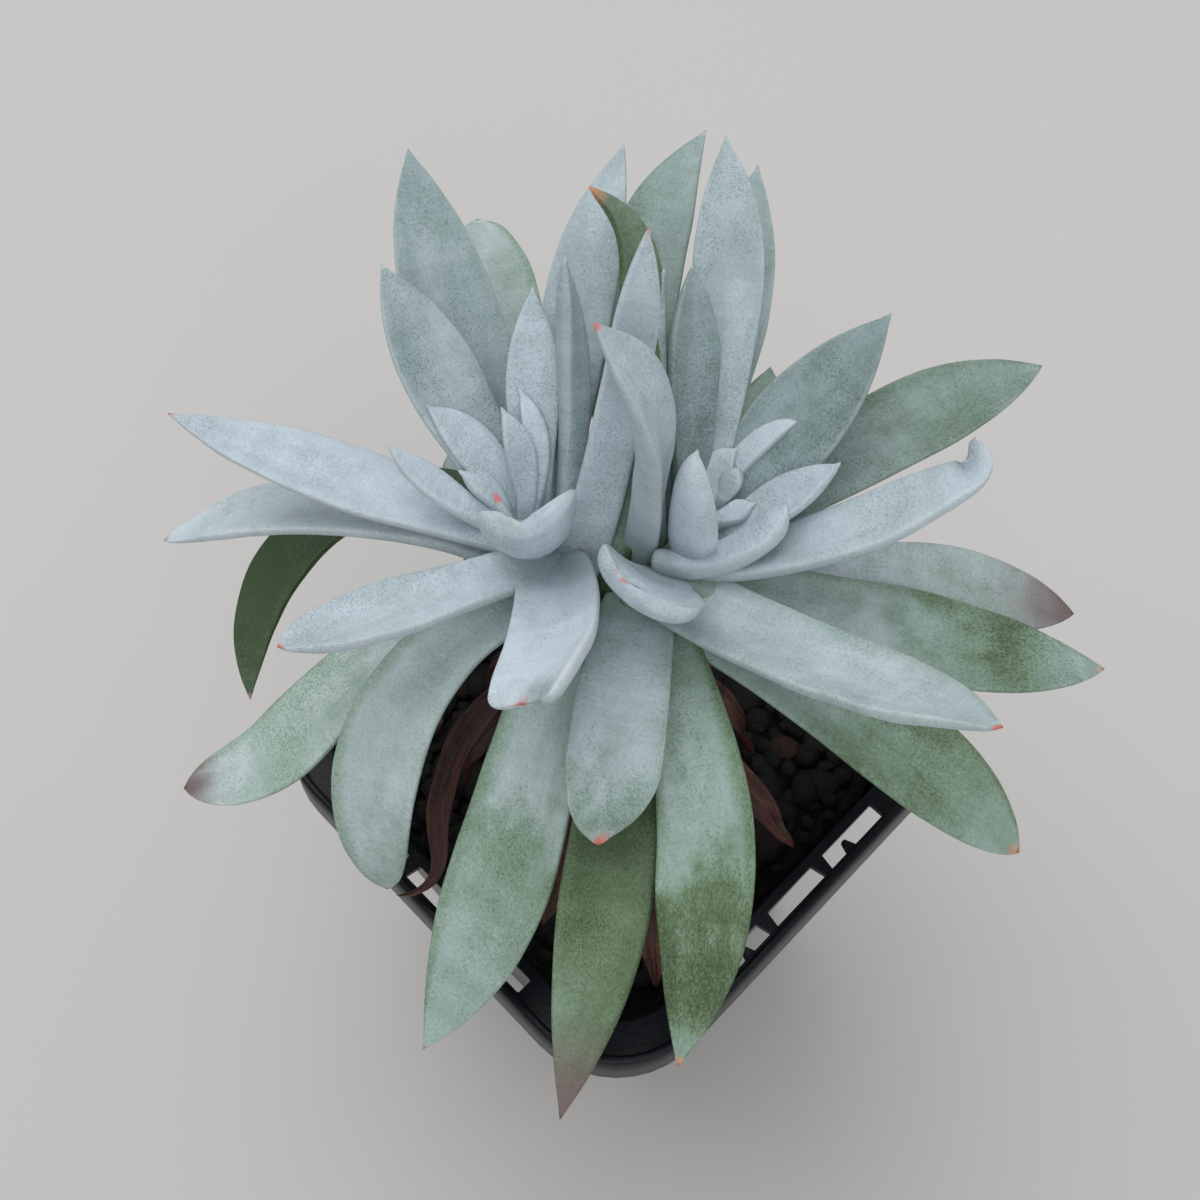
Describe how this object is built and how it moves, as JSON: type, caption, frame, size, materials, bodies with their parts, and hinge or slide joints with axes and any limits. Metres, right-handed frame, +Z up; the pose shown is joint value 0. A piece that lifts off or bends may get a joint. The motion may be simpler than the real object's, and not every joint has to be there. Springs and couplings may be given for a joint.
{
  "type": "potted white sprite dudleya",
  "caption": "Powdery blue-white succulent rosette of pointed fleshy leaves, double headed on a short stem, in a tapered square pot with a slotted rim.",
  "frame": {"origin": "middle of the pot's underside, where the pot stands", "axes": "+Z up through the stem, X and Y square to the pot's sides; the picture looks down from the +X -Y corner"},
  "size_m": [0.1046, 0.1012, 0.14],
  "materials": {
    "pot": "satin black moulded plastic, a little dusty",
    "soil": "dark gritty potting mix with bark and pumice, matt",
    "stem": "matt, ringed with leaf scars",
    "dry_leaf": "withered, papery and wrinkled, dark red-brown",
    "leaf": "fleshy green leaf under a matt blue-white powder, red at the tip"
  },
  "bodies": {
    "root": {"pot": "pot", "soil": "soil", "stem": "stem", "dry_leaves": "dry_leaf", "left_rosette": "leaf", "right_rosette": "leaf"}
  },
  "joints": []
}
